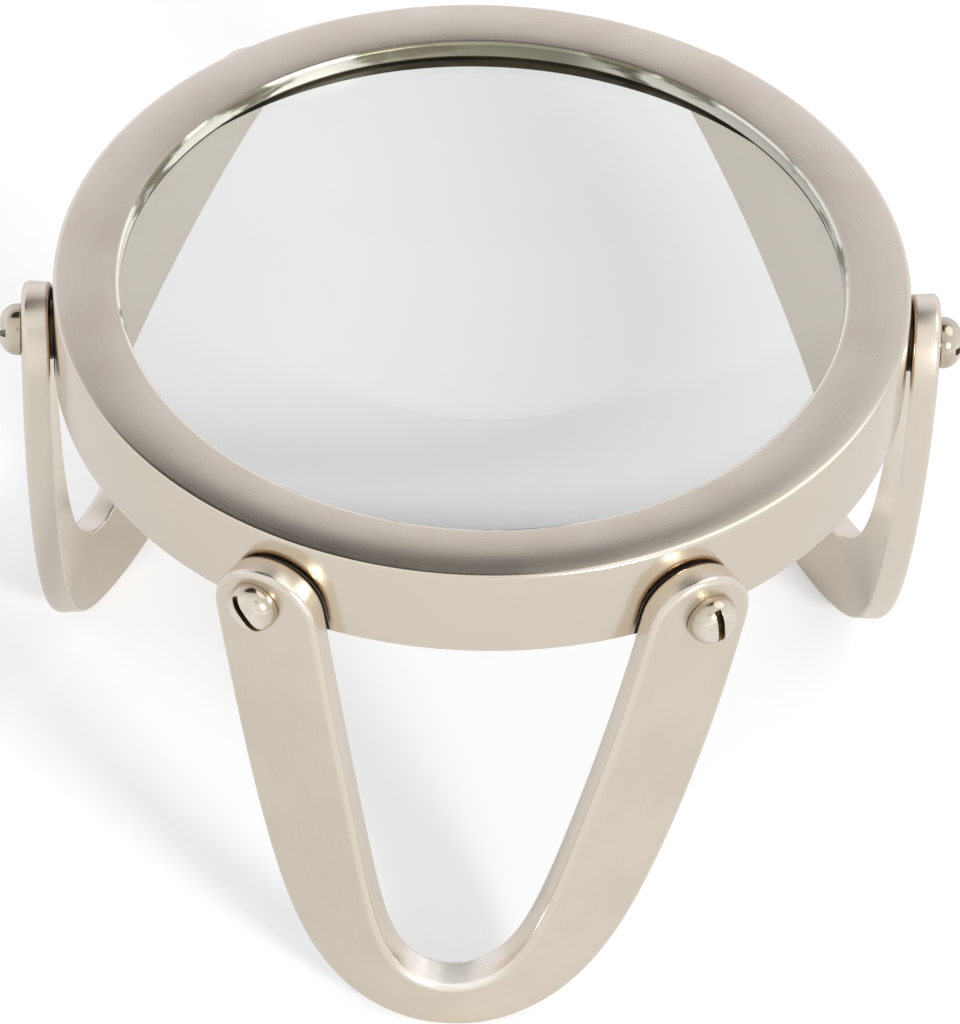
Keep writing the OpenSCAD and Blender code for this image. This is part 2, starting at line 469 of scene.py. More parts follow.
@dataclass(frozen=True)
class RingNickel(Nickel):
    """The ring's nickel: painted reflections on the lip's wall, dark in the bore below it, and painted
    shade on the band.
    """

    layer_strength: float = 0.55
    lip_radius: float = 55.6 * MM
    lip_soft: float = 0.3 * MM
    lip_roughness: float = 0.42
    lip_dulling: float = 0.45
    lip_pale_reflection: Colour = (0.88, 0.865, 0.77)
    wear_and_painted_light: Colour = (0.20, 0.185, 0.125)
    pale_patch_range: Pair = (0.40, 0.50)
    back_darkening: float = 0.9
    back_half: Pair = (26 * MM, 12 * MM)
    back_depth: float = 20 * MM
    bore_radius: float = 61.3 * MM
    seat_height: float = 90.4 * MM
    bore_soft: float = 0.4 * MM
    bore_roughening: float = 0.5
    dark: Colour = (0.012, 0.010, 0.004)
    olive: Colour = (0.06, 0.05, 0.025)
    olive_range: Pair = (0.42, 0.66)
    patch: Triple = (15 * MM, 15 * MM, 4 * MM)
    band_radius: float = 64.9 * MM
    band_soft: float = 0.15 * MM
    band_shade_tone: Colour = (0.62, 0.565, 0.475)
    band_shade_share: float = 0.45
    gap_shade: Colour = (0.008, 0.006, 0.004)
    gap_shade_soft: float = 2 * MM
    gap_shade_roughening: float = 0.6
    pads: tuple[Pad, ...] = ()
    pad_reach: float = 7.65 * MM

    def dress(self, graph: Graph, coat: Coat) -> Coat:
        """Paints reflections on the lip's wall, darkens the bore in patches, and paints shade on the
        band and behind the legs.

        The lip's wall has a painted pale reflection, with a painted dark reflection in patches and all
        over in the middle of the ring's back.

        Args:
            graph: the material's graph.
            coat: the coat so far.

        Returns:
            The coat with its zones.
        """
        x, y, z, r = graph.place()
        inside = r.rise(self.bore_radius, self.bore_radius - self.bore_soft)
        bore = inside * z.rise(self.seat_height, self.seat_height - self.bore_soft)
        lip = r.rise(self.lip_radius, self.lip_radius - self.lip_soft) * (1 - bore)
        at = graph.vector(x / self.patch[0], y / self.patch[1], z / self.patch[2])
        patches = graph.noise(at, self.cloud_layers, self.cloud_strength)
        tinted = graph.blend(patches.rise(*self.olive_range), self.dark, self.olive)
        # Painted shade: the side band is a darker copy of the same nickel.
        side = r.rise(self.band_radius - self.band_soft, self.band_radius)
        colour = graph.blend(side * self.band_shade_share, coat.colour, self.band_shade_tone)
        # Painted reflection on the lip's wall: pale cream, dark in patches and in the middle of the
        # back, and less metallic.
        middle = (x * x).root().rise(*self.back_half) * y.rise(0.0, self.back_depth)
        pale_patches = patches.rise(*self.pale_patch_range) * (1 - middle * self.back_darkening)
        colour = graph.blend(lip, colour, graph.blend(pale_patches, self.wear_and_painted_light, self.lip_pale_reflection))
        colour = graph.blend(bore, colour, tinted)
        # Painted shade: near-black, rougher and not metallic on the band behind the legs' limbs, in the
        # gap between pad and ring.
        outside = r.rise(self.bore_radius, self.bore_radius + self.gap_shade_soft)
        gap_shade = behind_limbs(graph, self.pads, self.pad_reach) * outside
        colour = graph.blend(gap_shade, colour, self.gap_shade)
        roughness = coat.roughness + lip * (self.lip_roughness - self.roughness)
        roughness = roughness + bore * self.bore_roughening + gap_shade * self.gap_shade_roughening
        return Coat(colour, roughness, 1.0 - self.lip_dulling * lip - gap_shade)


@dataclass(frozen=True)
class LegNickel(Nickel):
    """The legs' nickel: brushed on the broad faces, smoother and paler on the narrow sides."""

    side_tone: Colour = (0.80, 0.73, 0.63)
    side_share: float = 0.8
    side_roughness: float = 0.14
    end_roughness: float = 0.33
    end_height: float = 66 * MM
    end_soft: float = 6 * MM
    foot_highlight_tone: Colour = (0.97, 0.955, 0.93)
    foot_highlight_share: float = 0.7
    foot_highlight_dulling: float = 0.4
    foot_roughness: float = 0.30
    foot_height: float = 12 * MM
    foot_soft: float = 4 * MM
    foot_forward: Pair = (-30 * MM, -50 * MM)
    foot_above: Pair = (4 * MM, 8 * MM)
    inner: Colour = (0.98, 0.93, 0.82)
    hollow_light_share: float = 0.9
    inner_radius: float = 66 * MM
    inner_soft: float = 2.5 * MM
    fringe_reflection: Colour = (0.42, 0.25, 0.13)
    fringe_share: float = 0.8
    fringe_radius: float = 66.05 * MM
    fringe_soft: float = 0.3 * MM
    fringe_climb: Pair = (-2 * MM, 4 * MM)
    hollow: Colour = (0.03, 0.022, 0.014)
    hollow_radius: float = 65.85 * MM
    hollow_soft: float = 0.15 * MM
    hollow_climb: Pair = (-1 * MM, 1 * MM)
    hollow_roughening: float = 0.5
    band_height: float = 77.1 * MM
    pads: tuple[Pad, ...] = ()
    pad_reach: float = 7.3 * MM

    def dress(self, graph: Graph, coat: Coat) -> Coat:
        """Dresses the narrow sides, the front foot, and the hollow face.

        The sides are smooth, less so at the bar's ends and foot. The front foot's upward
        side has a painted highlight. The hollow face has painted light below the band,
        painted shade behind it, and a painted orange-brown reflection by the band.

        Args:
            graph: the material's graph.
            coat: the coat so far.

        Returns:
            The coat with its zones.
        """
        _, y, z, r = graph.place()
        flank = graph.attribute("flank")
        foot = z.rise(self.foot_height + self.foot_soft, self.foot_height)
        end = z.rise(self.end_height, self.end_height + self.end_soft)
        rougher = end * (self.end_roughness - self.side_roughness)
        rougher = rougher + foot * (self.foot_roughness - self.side_roughness)
        roughness = coat.roughness + flank * (self.side_roughness - self.roughness + rougher)
        colour = graph.blend(flank * self.side_share, coat.colour, self.side_tone)
        # Painted highlight: a pale, less metallic patch on the front foot's upward side.
        foot_highlight = foot * flank * y.rise(*self.foot_forward) * z.rise(*self.foot_above)
        colour = graph.blend(foot_highlight * self.foot_highlight_share, colour, self.foot_highlight_tone)
        # Painted light: the hollow face is made lighter along the limbs.
        inner = r.rise(self.inner_radius + self.inner_soft, self.inner_radius) * (1 - flank)
        inner = inner * z.rise(self.foot_height, 2 * self.foot_height)
        colour = graph.blend(inner * self.hollow_light_share, colour, self.inner)
        # Painted reflection: orange-brown on the hollow face and its edge beside the band.
        tinted = r.rise(self.fringe_radius + self.fringe_soft, self.fringe_radius)
        tinted = tinted * z.rise(*(self.band_height + step for step in self.fringe_climb))
        colour = graph.blend(tinted * self.fringe_share, colour, self.fringe_reflection)
        # Painted shade: near-black, rougher and not metallic on the hollow face behind the band, within
        # the limbs' reach.
        hollow_shade = r.rise(self.hollow_radius + self.hollow_soft, self.hollow_radius)
        hollow_shade = hollow_shade * z.rise(*(self.band_height + step for step in self.hollow_climb))
        hollow_shade = hollow_shade * behind_limbs(graph, self.pads, self.pad_reach)
        colour = graph.blend(hollow_shade, colour, self.hollow)
        metallic = 1.0 - hollow_shade - foot_highlight * self.foot_highlight_dulling
        return Coat(colour, roughness + hollow_shade * self.hollow_roughening, metallic)


@dataclass(frozen=True)
class Glass:
    """Optical glass with an inked rim, which lets lamps light what is behind it."""

    name: str = "lens_glass"
    # The grey tint is partly glass loss and partly painted shade on what is seen through the lens.
    tint: Colour = (0.77, 0.77, 0.765)
    shadow: Colour = (0.93, 0.935, 0.935)
    index: float = 1.52
    gloss: float = 0.1
    rim_radius: float = 59.85 * MM
    rim_soft: float = 0.1 * MM
    ink: Colour = (0.012, 0.009, 0.003)
    ink_roughness: float = 0.6

    def material(self) -> bpy.types.Material:
        """Builds the material.

        Returns:
            Glass and ink for the eye, and a clear sheet for the rays that cast shadows.
        """
        material, graph = new_material(self.name)
        glass = graph.add(
            "BsdfPrincipled",
            None,
            {
                "Base Color": rgba(self.tint),
                "Roughness": 0.0,
                "IOR": self.index,
                "Specular Tint": rgba((self.gloss,) * 3),
                "Transmission Weight": 1.0,
            },
        )
        ink = graph.add(
            "BsdfPrincipled",
            None,
            {"Base Color": rgba(self.ink), "Roughness": self.ink_roughness, "Specular IOR Level": 0.0},
        )
        _, _, _, r = graph.place()
        rim = r.rise(self.rim_radius - self.rim_soft, self.rim_radius)
        lens = graph.add("MixShader", None, {0: rim, 1: glass.outputs[0], 2: ink.outputs[0]})
        clear = graph.add("BsdfTransparent", None, {"Color": rgba(self.shadow)})
        path = graph.add("LightPath")
        mix = graph.add(
            "MixShader",
            None,
            {0: path.outputs["Is Shadow Ray"], 1: lens.outputs[0], 2: clear.outputs[0]},
        )
        graph.finish(mix.outputs[0])
        return material


LEG_FINISH = LegNickel(
    "leg_nickel",
    Brush.ALONG,
    tone=(0.73, 0.66, 0.56),
    shade=(0.695, 0.625, 0.525),
    # Paler edge tone: partly wear, partly painted highlight.
    edge_tone=(0.80, 0.73, 0.63),
    roughness=0.30,
    pitch=0.30 * MM,
    streak=12 * MM,
    relief=0.07,
)
HEAD_FINISH = Nickel(
    "screw_nickel",
    Brush.TURNED,
    tone=(0.84, 0.79, 0.70),
    shade=(0.70, 0.63, 0.52),
    # Dark edge tone: painted shade at the head's rim, where it sits on the pad.
    edge_tone=(0.46, 0.38, 0.27),
    roughness=0.16,
    spread=0.05,
    edge_roughness=0.12,
    pitch=0.12 * MM,
    streak=3 * MM,
    cloud=4 * MM,
    relief=0.04,
)
# Dark brown slot walls: painted shade in the slots, with a golden tinge as painted reflection.
SLOT_FINISH = Nickel(
    "slot_painted_shade",
    Brush.GRAIN,
    tone=(0.22, 0.13, 0.045),
    shade=(0.05, 0.03, 0.012),
    roughness=0.34,
    pitch=0.20 * MM,
    cloud=2 * MM,
)
# Near-black washers: painted shade in the gaps between the legs and the ring.
WASHER_FINISH = Nickel(
    "washer_steel",
    Brush.GRAIN,
    tone=(0.07, 0.05, 0.03),
    shade=(0.035, 0.025, 0.015),
    roughness=0.38,
    pitch=0.20 * MM,
)
SPRING_FINISH = Nickel(
    "spring_steel",
    Brush.AROUND,
    tone=(0.05, 0.045, 0.03),
    shade=(0.025, 0.02, 0.012),
    roughness=0.36,
    pitch=0.15 * MM,
    layer_strength=0.55,
)


@dataclass
class Surface:
    """A surface on a grid of two parameters, whose second one runs round a closed curve.

    Where folded is not 0 the ends are folded flat, and it is how many steps the section's
    first face has.
    """

    points: Array
    closed: bool = False
    edge: Array | float = 0.0
    flank: Array | float = 0.0
    along: Array | None = None
    around: Array | None = None
    folded: int = 0

    def corners(self) -> tuple[Array, Array, Array, Array]:
        """Lists the faces: a quad for each cell of the grid, and a fan over each open end.

        Returns:
            The quads' point numbers, their brush coordinates, and the same of the triangles.
        """
        n, m = self.points.shape[:2]
        rows = np.arange(n if self.closed else n - 1)[:, None]
        cols = np.arange(m)[None, :]
        below, right = (rows + 1) % n, (cols + 1) % m
        quads = np.stack(
            [rows * m + cols, below * m + cols, below * m + right, rows * m + right], -1
        ).reshape(-1, 4)
        u = self.along if self.along is not None else np.linspace(0, 1, n + 1)
        v = self.around if self.around is not None else np.linspace(0, 1, m + 1)
        cell_u = np.stack([u[rows], u[rows + 1], u[rows + 1], u[rows]], -1) + 0 * cols[..., None]
        cell_v = np.stack([v[cols], v[cols], v[cols + 1], v[cols + 1]], -1) + 0 * rows[..., None]
        quad_uv = np.stack([cell_u, cell_v], -1).reshape(-1, 4, 2)
        if self.closed:
            return quads, quad_uv, np.zeros((0, 3), int), np.zeros((0, 3, 2))
        last = (n - 1) * m
        if self.folded:
            return quads, quad_uv, *self.seams(m, last, u, v, self.folded)
        j, k = np.arange(m), (np.arange(m) + 1) % m
        fans = np.concatenate(
            [
                np.stack([np.full(m, n * m), j, k], -1),
                np.stack([np.full(m, n * m + 1), last + k, last + j], -1),
            ]
        )
        ends = np.repeat([u[0], u[n - 1]], m)
        fan_v = np.stack([np.tile((v[:-1] + v[1:]) / 2, 2), np.tile(v[:-1], 2), np.tile(v[1:], 2)], -1)
        fan_v[m:, 1:] = fan_v[m:, :0:-1]
        fan_uv = np.stack([np.repeat(ends[:, None], 3, 1), fan_v], -1)
        return quads, quad_uv, fans, fan_uv

    @staticmethod
    def seams(m: int, last: int, u: Array, v: Array, face: int) -> tuple[Array, Array]:
        """Closes two ends where the section is folded flat, by joining its two halves.

        The section's point j lies beside point (face - j) mod m, with points face / 2 and
        (face + m) / 2 on the fold itself. Each step between two pairs is two triangles.

        Args:
            m: how many points the section has.
            last: the number of the last section's first point.
            u: the brush coordinate of each section.
            v: the brush coordinate of each point of a section.
            face: how many steps the section's first face has.

        Returns:
            The triangles and their brush coordinates.
        """
        a = np.arange(face // 2, (face + m) // 2)
        b, c, d = a + 1, (face - 1 - a) % m, (face - a) % m
        three = np.concatenate([np.stack([a, b, c], -1)[:-1], np.stack([a, c, d], -1)[1:]])
        three_v = np.concatenate([v[np.stack([a, b, b], -1)][:-1], v[np.stack([a, b, a], -1)][1:]])
        faces = np.concatenate([three, three[:, ::-1] + last])
        ends = np.repeat([u[0], u[last // m]], len(three))[:, None] + np.zeros(3)
        return faces, np.stack([ends, np.concatenate([three_v, three_v[:, ::-1]])], -1)

    def mesh(self, name: str) -> bpy.types.Mesh:
        """Puts the surface into a mesh whose faces point outwards.

        The enclosed volume is the sum of p dot (q cross r) / 6 over the triangles. Where it
        comes out negative, every face is turned round.

        Args:
            name: the mesh's name.

        Returns:
            The mesh, with smooth faces, its brush coordinates and its edge values.
        """
        n, m = self.points.shape[:2]
        points = self.points.reshape(-1, 3)
        marks = {"edge": self.edge, "flank": self.flank}
        marks = {k: np.broadcast_to(np.asarray(v, float), (n, m)).reshape(-1) for k, v in marks.items()}
        quads, quad_uv, fans, fan_uv = self.corners()
        if not (self.closed or self.folded):
            poles = np.stack([self.points[0].mean(0), self.points[-1].mean(0)])
            points = np.concatenate([points, poles])
            marks = {k: np.append(v, [v[0], v[-1]]) for k, v in marks.items()}
        triangles = np.concatenate([quads[:, [0, 1, 2]], quads[:, [0, 2, 3]], fans])
        p, q, r = points[triangles].transpose(1, 0, 2)
        if (p * np.cross(q, r)).sum() < 0:
            quads, quad_uv = quads[:, ::-1], quad_uv[:, ::-1]
            fans, fan_uv = fans[:, ::-1], fan_uv[:, ::-1]
        mesh = bpy.data.meshes.new(name)
        mesh.from_pydata(points.tolist(), [], quads.tolist() + fans.tolist())
        brush = np.concatenate([quad_uv.reshape(-1, 2), fan_uv.reshape(-1, 2)])
        mesh.uv_layers.new(name="brush").data.foreach_set("uv", brush.ravel())
        for mark, values in marks.items():
            mesh.attributes.new(mark, "FLOAT", "POINT").data.foreach_set("value", values)
        smooth = np.ones(len(mesh.polygons), bool)
        mesh.polygons.foreach_set("use_smooth", smooth)
        mesh.update()
        return mesh


def rounded(corners: Array, radii: Array, steps: int) -> Array:
    """Rounds every corner of a closed outline with an arc tangent to both of its sides.

    With unit vectors p and q from a corner to its neighbours and a half angle h between
    them, the arc's centre lies at radius / sin(h) along p + q, and the arc turns evenly
    from one tangent point to the other.

    Args:
        corners: the outline's corners, n rows of two numbers.
        radii: each corner's radius.
        steps: how many points each arc has.

    Returns:
        The arcs, n by steps by 2.
    """
    def unit(v: Array) -> Array:
        """Scales each row to length 1."""
        return v / np.linalg.norm(v, axis=-1, keepdims=True)

    back, ahead = unit(np.roll(corners, 1, 0) - corners), unit(np.roll(corners, -1, 0) - corners)
    half = np.arccos(np.clip((back * ahead).sum(-1), -1, 1)) / 2
    centre = corners + unit(back + ahead) * (radii / np.sin(half))[:, None]
    tangent = (radii / np.tan(half))[:, None]
    start, end = corners + back * tangent - centre, corners + ahead * tangent - centre
    turn = np.arctan2(start[:, 0] * end[:, 1] - start[:, 1] * end[:, 0], (start * end).sum(-1))
    angle = turn[:, None] * np.linspace(0, 1, steps)
    c, s = np.cos(angle), np.sin(angle)
    x = c * start[:, :1] - s * start[:, 1:]
    y = s * start[:, :1] + c * start[:, 1:]
    return centre[:, None] + np.stack([x, y], -1)


def turned(profile: Array, segments: int, axis_y: float) -> Array:
    """Turns a profile about the upright axis through (0, axis_y).

    A point at radius r and height z goes to (r cos a, axis_y + r sin a, z).

    Args:
        profile: rows of radius and height.
        segments: how many steps there are round the axis.
        axis_y: where the axis is.

    Returns:
        The points, profile by segments by 3.
    """
    a = np.linspace(0, 2 * np.pi, segments, endpoint=False)
    r, z = profile[:, :1], profile[:, 1:]
    return np.stack([r * np.cos(a), axis_y + r * np.sin(a), z + 0 * a], -1)


def seat(
    mesh: bpy.types.Mesh, name: str, slot: str, node: str, *materials: bpy.types.Material
) -> bpy.types.Object:
    """Makes the object of a finished mesh, and lets it stand for its CAD node.

    Args:
        mesh: the finished mesh, in its place.
        name: the piece's name.
        slot: not used.
        node: the CAD node that it stands for.
        materials: its materials, in slot order.

    Returns:
        The object.
    """
    for material in materials:
        mesh.materials.append(material)
    piece = bpy.data.objects.new(name, mesh)
    bpy.context.scene.collection.objects.link(piece)
    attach(piece, BODY)
    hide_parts(node)
    log.info("%s: %d faces, for %s", name, len(mesh.polygons), node)
    return piece


@dataclass
class TurnedRing:
    """The turned ring: a crowned top face, a plain side band and a lip over the lens."""

    ring_d: float = 130 * MM
    band_h: float = 15.9 * MM
    face_w: float = 10 * MM
    wall_t: float = 4.8 * MM
    lip_t: float = 3.2 * MM
    crown: float = 0.5 * MM
    crown_shift: float = 1 * MM
    edge_round: float = 0.42 * MM
    groove_break: float = 0.06 * MM
    lip_break: float = 0.1 * MM
    total_h: float = 93 * MM
    groove_low: float = 85.376 * MM
    groove_h: float = 1.3 * MM
    groove_d: float = 0.8 * MM
    segments: int = 480
    arc_steps: int = 6
    face_steps: int = 26
    sharp: float = 50

    @property
    def ring_r(self) -> float:
        """Outside radius."""
        return self.ring_d / 2

    @property
    def view_r(self) -> float:
        """Radius of the viewing opening."""
        return self.ring_r - self.face_w

    @property
    def bore_r(self) -> float:
        """Radius of the bore below the lip."""
        return self.ring_r - self.wall_t

    def crowned(self, r: Array) -> Array:
        """Gives how far the crown rises over the plain height at radius r.

        The crown is an arc that would rise c over the face's width w, so its radius is
        (w * w / 4 + c * c) / (2 c). Its highest line lies crown_shift inside the face's
        middle, so the outer edge ends up the lowest.

        Args:
            r: distances from the ring's axis.

        Returns:
            The rise at each of them.
        """
        w, c = self.face_w, self.crown
        big = (w * w / 4 + c * c) / (2 * c)
        off = r - (self.ring_r - w / 2 - self.crown_shift)
        return np.sqrt(big * big - off * off) - (big - c)

    def profile(self) -> tuple[Array, Array]:
        """Draws the closed profile: rounded corners, and a flat top lifted to its crown.

        Returns:
            The profile's rows of radius and height, and how near each is to a broken edge.
        """
        top, low = self.total_h - self.crown, self.total_h - self.band_h
        seat_z, deep = self.total_h - self.lip_t, self.bore_r + self.groove_d
        groove_top = self.groove_low + self.groove_h
        corners = np.array(
            [
                [self.ring_r, top],
                [self.ring_r, low],
                [self.bore_r, low],
                [self.bore_r, self.groove_low],
                [deep, self.groove_low],
                [deep, groove_top],
                [self.bore_r, groove_top],
                [self.bore_r, seat_z],
                [self.view_r, seat_z],
                [self.view_r, top],
            ]
        )
        inner_breaks = [self.groove_break] * 4 + [self.lip_break] * 2
        radii = np.array([self.edge_round] * 3 + inner_breaks + [self.edge_round])
        arcs = rounded(corners, radii, self.arc_steps)
        broken = np.zeros(arcs.shape[:2])
        broken[[0, 1, 2, 9]] = 1.0
        face_r = np.linspace(arcs[9, -1, 0], arcs[0, 0, 0], self.face_steps)[1:-1]
        face = np.stack([face_r, np.full(len(face_r), top)], -1)
        profile = np.concatenate([arcs.reshape(-1, 2), face])
        # The top face and both of its rounded edges lie within one and a half roundings.
        on_top = profile[:, 1] > top - 1.5 * self.edge_round
        profile[:, 1] += self.crowned(profile[:, 0]) * on_top
        return profile, np.concatenate([broken.ravel(), np.zeros(len(face_r))])

    def build(self, finish: Nickel) -> bpy.types.Object:
        """Turns the profile and dresses it.

        Args:
            finish: the ring's finish.

        Returns:
            The ring's object.
        """
        profile, broken = self.profile()
        points = turned(profile, self.segments, ring_axis_y())
        mesh = Surface(points, closed=True, edge=broken[:, None]).mesh("ring_turned")
        mesh.set_sharp_from_angle(angle=math.radians(self.sharp))
        return seat(mesh, "ring_turned", "ring_nickel", "frame_ring", finish.material())


@dataclass
class DoubleConvexLens:
    """The lens: two spherical caps over a short ground rim, up against the ring's lip."""

    curve: float = 350 * MM
    rim_t: float = 2 * MM
    clear: float = 0.2 * MM
    seat_clear: float = 0.05 * MM
    rim_break: float = 0.12 * MM
    pole_r: float = 0.25 * MM
    steps: int = 56
    segments: int = 288
    sharp: float = 30
    ring: TurnedRing = field(default_factory=TurnedRing)

    def profile(self) -> Array:
        """Draws half of the lens's section, from the top's middle to the bottom's middle.

        A cap's height at radius r is its centre's height plus or less
        sqrt(curve * curve - r * r).

        Returns:
            Rows of radius and height.
        """
        lens_r = self.ring.bore_r - self.clear
        seat_z = self.ring.total_h - self.ring.lip_t
        top_centre = seat_z - self.seat_clear - math.sqrt(self.curve**2 - self.ring.view_r**2)
        rise = math.sqrt(self.curve**2 - lens_r**2)
        low_centre = top_centre + rise - self.rim_t + rise
        r = np.linspace(self.pole_r, lens_r - self.rim_break, self.steps)
        cap = np.sqrt(self.curve**2 - r * r)
        top = np.stack([r, top_centre + cap], -1)
        low = np.stack([r, low_centre - cap], -1)[::-1]
        rim_top, rim_low = top_centre + rise, low_centre - rise
        rim = np.array([[lens_r, rim_top - self.rim_break], [lens_r, rim_low + self.rim_break]])
        return np.concatenate([top, rim, low])

    def build(self) -> bpy.types.Object:
        """Turns the section and dresses it.

        Returns:
            The lens's object.
        """
        points = turned(self.profile(), self.segments, ring_axis_y())
        mesh = Surface(points).mesh("lens_ground")
        mesh.set_sharp_from_angle(angle=math.radians(self.sharp))
        return seat(mesh, "lens_ground", "lens_glass", "lens", Glass().material())


@dataclass
class BentLeg:
    """A leg: a flat bar bent into a V round the ring, twisted and thickened at its foot."""

    name: str
    turn: float
    foot_set: float = 0.0
    pad_angle: float = 28.5
    drop: float = 0.8 * MM
    ring: TurnedRing = field(default_factory=TurnedRing)
    thick: float = 4.2 * MM
    gap: float = 0.7 * MM
    pad_w: float = 17 * MM
    foot_w: float = 12 * MM
    pad_drop: float = 4.2 * MM
    knee_half: float = 14.8 * MM
    knee_turn: float = 11.8
    leg_lean: float = 1.4 * MM
    foot_tilt: float = 14.5
    knee_swell: float = 0.9 * MM
    outer_round: float = 1 * MM
    inner_round: float = 0.4 * MM
    foot_grind: float = 0.55 * MM
    corner_cut: float = 0.3
    bow: float = 0.21
    narrow_power: float = 4.2
    lean_power: float = 4
    tilt_power: float = 1.2
    swell_power: float = 6
    set_power: float = 1.4
    limb_steps: int = 96
    end_steps: int = 16
    end_sweep: float = 89.6
    face_steps: int = 8
    corner_steps: int = 6
    slope_step: float = 0.004
    sharp: float = 60

    @property
    def inner_r(self) -> float:
        """Radius of the bar's hollow face at the ring."""
        return self.ring.ring_r + self.gap

    @property
    def outer_r(self) -> float:
        """Radius of the bar's outer face at the ring."""
        return self.inner_r + self.thick

    @property
    def pad_z(self) -> float:
        """Height of the middle of each rounded end."""
        return self.ring.total_h - self.drop - self.pad_drop - self.pad_w / 2

    def pads(self) -> list[Pad]:
        """Gives the two rounded ends: left, then right."""
        return [Pad(self.turn + side * self.pad_angle, self.pad_z, side) for side in (-1, 1)]

    def middle(self, t: Array) -> Array:
        """Gives the bar's middle line, unrolled: length round the ring, and height.

        With k going from 0 at the ends to 1 at the foot as the sine of a quarter turn,
        the limbs close in from the pads' spread to the knee's, times
        sqrt(1 - k ** knee_turn), and the foot is set aside by foot_set * k ** set_power.

        Args:
            t: from -1 at the left end over 0 at the foot to 1 at the right end.

        Returns:
            Rows of length and height.
        """
        k = self.fall(t)
        pad_half = math.radians(self.pad_angle) * self.outer_r
        closing = k - self.bow * k * (1 - k)
        spread = pad_half + (self.knee_half - pad_half) * closing
        spread = spread * np.sqrt(np.maximum(1 - k**self.knee_turn, 0))
        tilt = math.radians(self.foot_tilt)
        foot_z = self.foot_w / 2 * math.cos(tilt) - self.foot_grind
        foot_z += (self.thick / 2 - self.corner_cut * self.outer_round) * math.sin(tilt)
        a = np.sign(t) * spread + self.foot_set * k**self.set_power
        return np.stack([a, self.pad_z + (foot_z - self.pad_z) * k], -1)

    @staticmethod
    def fall(t: Array) -> Array:
        """Gives 0 at the bar's ends and 1 at its foot."""
        return np.sin(np.pi / 2 * (1 - np.minimum(np.abs(t), 1)))

    def stations(self) -> tuple[Array, Array, Array]:
        """Lists the sections: round the left end, along both limbs, round the right end.

        Returns:
            Each section's t, its angle in the round end, and which end that is.
        """
        quarter = np.linspace(0, np.pi / 2, self.end_steps, endpoint=False)
        sweep = np.radians(self.end_sweep) * np.cos(quarter)
        limbs = np.linspace(-1, 1, 2 * self.limb_steps + 1)
        t = np.concatenate([np.full(self.end_steps, -1.0), limbs, np.full(self.end_steps, 1.0)])
        angle = np.concatenate([sweep, np.zeros(len(limbs)), sweep[::-1]])
        end = np.sign(t) * (angle > 0)
        return t, angle, end

    def section(self) -> tuple[Array, Array, Array, Array, Array]:
        """Draws the bar's section, with its corners rounded by quarter circles.

        Returns:
            Each point's inset from the bar's side, its place across from -1 to 1, its
            height over the hollow face, how near it is to a rounded edge, and whether it
            is on one of the two sides.
        """
        q = np.linspace(0, np.pi / 2, self.corner_steps + 1)
        low, high = self.inner_round, self.outer_round
        across = np.linspace(-1, 1, self.face_steps + 1)
        ones, zeros = np.ones(len(q)), np.zeros(len(across))
        inset = [low + zeros, low * (1 - np.sin(q)), high * (1 - np.cos(q)), high + zeros]
        side = [across, ones, ones, -across]
        height = [zeros, low * (1 - np.cos(q)), self.thick - high * (1 - np.sin(q)), self.thick + zeros]
        # Edge marks, partly wear and partly painted highlight, peak in the middle of each rounded
        # corner.
        wear_and_painted_light = [zeros, np.sin(2 * q), np.sin(2 * q) ** 0.5, zeros]
        inset += [high * (1 - np.cos(q[::-1])), low * (1 - np.sin(q[::-1]))]
        side += [-ones, -ones]
        height += [self.thick - high * (1 - np.sin(q[::-1])), low * (1 - np.cos(q[::-1]))]
        wear_and_painted_light += [np.sin(2 * q) ** 0.5, np.sin(2 * q)]
        low_side, high_side = np.sin(q) ** 2, np.cos(q) ** 2
        flank = [zeros, low_side, high_side, zeros, high_side[::-1], low_side[::-1]]
        return tuple(np.concatenate(part) for part in (inset, side, height, wear_and_painted_light, flank))

    def surface(self) -> Surface:
        """Carries the section along the bent bar and grinds the foot flat.

        At each section the bar's heading is the slope of its middle line. The section
        turns by the foot's tilt times k ** tilt_power, thickens on its inner side by
        knee_swell * k ** swell_power, and leans in by leg_lean times the depth below the
        ring to lean_power. Then the length goes round the ring's axis as an angle.

        Returns:
            The bar's surface.
        """
        t, angle, end = self.stations()
        inset, side, height, wear_and_painted_light, flank = self.section()
        ahead = self.middle(np.minimum(t + self.slope_step, 1))
        slope = ahead - self.middle(np.maximum(t - self.slope_step, -1))
        slope = slope / np.linalg.norm(slope, axis=-1, keepdims=True)
        k = self.fall(t)[:, None]
        pad = self.pad_w / 2
        half = pad + (self.foot_w / 2 - pad) * k**self.narrow_power - inset
        tilt = math.radians(self.foot_tilt) * k**self.tilt_power
        swell = 1 + self.knee_swell / self.thick * k**self.swell_power * (1 - side) / 2
        across = half * np.cos(angle)[:, None] * side
        up = (height - self.thick / 2) * swell
        on = end[:, None] * half * np.sin(angle)[:, None]
        off = across * np.cos(tilt) + up * np.sin(tilt)
        mid = self.middle(t)
        a = mid[:, :1] + slope[:, :1] * on + slope[:, 1:] * off
        z = mid[:, 1:] + slope[:, 1:] * on - slope[:, :1] * off
        band_z = self.ring.total_h - self.ring.band_h
        depth = np.maximum((band_z - mid[:, 1:]) / band_z, 0)
        r = self.inner_r + self.thick / 2 - self.leg_lean * depth**self.lean_power
        r = r + up * np.cos(tilt) - across * np.sin(tilt)
        az = math.radians(270 + self.turn) + a / self.outer_r
        points = np.stack([r * np.cos(az), ring_axis_y() + r * np.sin(az), np.maximum(z, 0)], -1)
        lengths = np.concatenate([[0], np.cumsum(np.linalg.norm(np.diff(mid, axis=0), axis=-1))])
        lengths = np.append(lengths + end * np.sin(angle) * pad, lengths[-1])
        limb = points[len(t) // 3]
